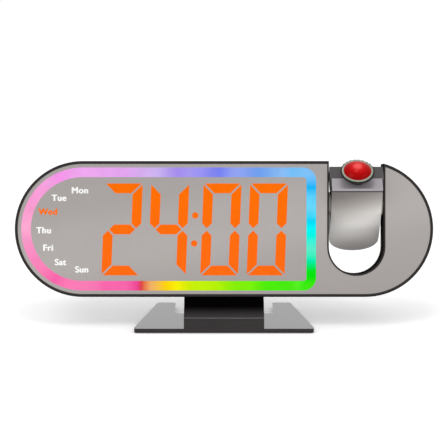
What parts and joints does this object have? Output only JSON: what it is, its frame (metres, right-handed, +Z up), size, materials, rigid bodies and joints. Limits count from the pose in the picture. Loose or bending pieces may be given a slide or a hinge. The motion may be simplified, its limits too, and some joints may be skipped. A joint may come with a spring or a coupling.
{
  "type": "projection alarm clock",
  "caption": "Wide pill-shaped mirror alarm clock with a rainbow light ring, lit figures and a projector arm that tilts in a slot, leaning back on a bent metal stand.",
  "frame": {"origin": "on the ground, under the middle of the clock's overall box", "axes": "+X to the right as the clock is read, +Y to the back, +Z up"},
  "size_m": [0.2, 0.0464, 0.079],
  "materials": {
    "gloss_dark": "glossy",
    "matte_dark": "fine matt grain",
    "half_mirror": "half mirrored, grey",
    "ring_light": "lit, all the colours of the rainbow in turn",
    "figure_light": "lit orange",
    "white_plastic": "matt white",
    "circuit_board": "solder mask",
    "lamp_orange": "lamp",
    "lamp_white": "lamp",
    "lamp_red": "lamp",
    "black_resin": "matt",
    "nickel": "bright",
    "button_plastic": "satin",
    "snooze_plastic": "satin",
    "black_steel": "blackened",
    "screw_steel": "zinc",
    "arm_metal": "polished",
    "arm_cap": "metallic satin",
    "arm_dark": "satin",
    "clear_lens": "clear",
    "film": "dark film",
    "focus_metal": "satin",
    "red_lens": "red, polished",
    "washer": "waxy",
    "stand_paint": "gloss",
    "foot_rubber": "matt"
  },
  "bodies": {
    "clock": {"front_housing": "gloss_dark", "rear_cover": "matte_dark", "mirror_panel": "half_mirror", "light_ring": "ring_light", "figure_1": "figure_light", "figure_2": "figure_light", "figure_3": "figure_light", "figure_4": "figure_light", "colon_dots": "figure_light", "display_reflector": "white_plastic", "display_board": "circuit_board", "segment_leds": "lamp_orange", "ring_leds": "lamp_white", "weekday_leds": "lamp_white", "board_connector": "black_resin", "main_board": "circuit_board", "clock_chip": "black_resin", "quartz_crystal": "nickel", "button_switches": "nickel", "buzzer": "black_resin", "usb_socket": "nickel", "usb_tongue": "black_resin", "cell_holder": "black_resin", "coin_cell": "nickel", "snooze_switches": "nickel", "snooze_board": "circuit_board", "case_screws": "black_steel", "board_screws": "screw_steel", "stand_screws": "black_steel", "stand": "stand_paint", "rubber_feet": "foot_rubber"},
    "snooze": {"snooze_bar": "snooze_plastic"},
    "set_button_body": {"set_button": "button_plastic"},
    "up_button_body": {"up_button": "button_plastic"},
    "down_button_body": {"down_button": "button_plastic"},
    "alarm_button_body": {"alarm_button": "button_plastic"},
    "projection_button_body": {"projection_button": "button_plastic"},
    "battery_lid": {"battery_door": "matte_dark"},
    "arm": {"arm_front_cover": "arm_metal", "arm_end_cap": "arm_cap", "arm_rear_shell": "arm_dark", "optics_barrel": "black_resin", "projector_board": "circuit_board", "projector_lamp": "lamp_red", "condenser_lens": "clear_lens", "display_film": "film", "pivot_pins": "screw_steel", "friction_washers": "washer", "arm_screws": "black_steel"},
    "focus": {"focus_ring": "focus_metal", "projection_lens": "red_lens"}
  },
  "joints": [
    {"name": "snooze_press", "type": "slide", "parent": "clock", "child": "snooze", "axis": [0, -0.2164, -0.9763], "range_m": [0, 0.0005], "stiffness_N_per_m": 500, "springref_m": -0.001},
    {"name": "set_button_press", "type": "slide", "parent": "clock", "child": "set_button_body", "axis": [0, -0.9763, 0.2164], "range_m": [0, 0.0005], "stiffness_N_per_m": 300, "springref_m": -0.0005},
    {"name": "up_button_press", "type": "slide", "parent": "clock", "child": "up_button_body", "axis": [0, -0.9763, 0.2164], "range_m": [0, 0.0005], "stiffness_N_per_m": 300, "springref_m": -0.0005},
    {"name": "down_button_press", "type": "slide", "parent": "clock", "child": "down_button_body", "axis": [0, -0.9763, 0.2164], "range_m": [0, 0.0005], "stiffness_N_per_m": 300, "springref_m": -0.0005},
    {"name": "alarm_button_press", "type": "slide", "parent": "clock", "child": "alarm_button_body", "axis": [0, -0.9763, 0.2164], "range_m": [0, 0.0005], "stiffness_N_per_m": 300, "springref_m": -0.0005},
    {"name": "projection_button_press", "type": "slide", "parent": "clock", "child": "projection_button_body", "axis": [0, -0.9763, 0.2164], "range_m": [0, 0.0005], "stiffness_N_per_m": 300, "springref_m": -0.0005},
    {"name": "battery_door_turn", "type": "hinge", "parent": "clock", "child": "battery_lid", "pos_m": [-0.056, 0.01263, 0.04265], "axis": [0, 0.9763, -0.2164], "range_deg": [0, 90]},
    {"name": "arm_tilt", "type": "hinge", "parent": "clock", "child": "arm", "pos_m": [0.0632, 0.00649, 0.05651], "axis": [1, 0, 0], "range_deg": [-135, 45]},
    {"name": "focus_turn", "type": "hinge", "parent": "arm", "child": "focus", "pos_m": [0.0632, -0.00372, 0.07253], "axis": [0, -0.5373, 0.8434], "range_deg": [-90, 90]}
  ]
}
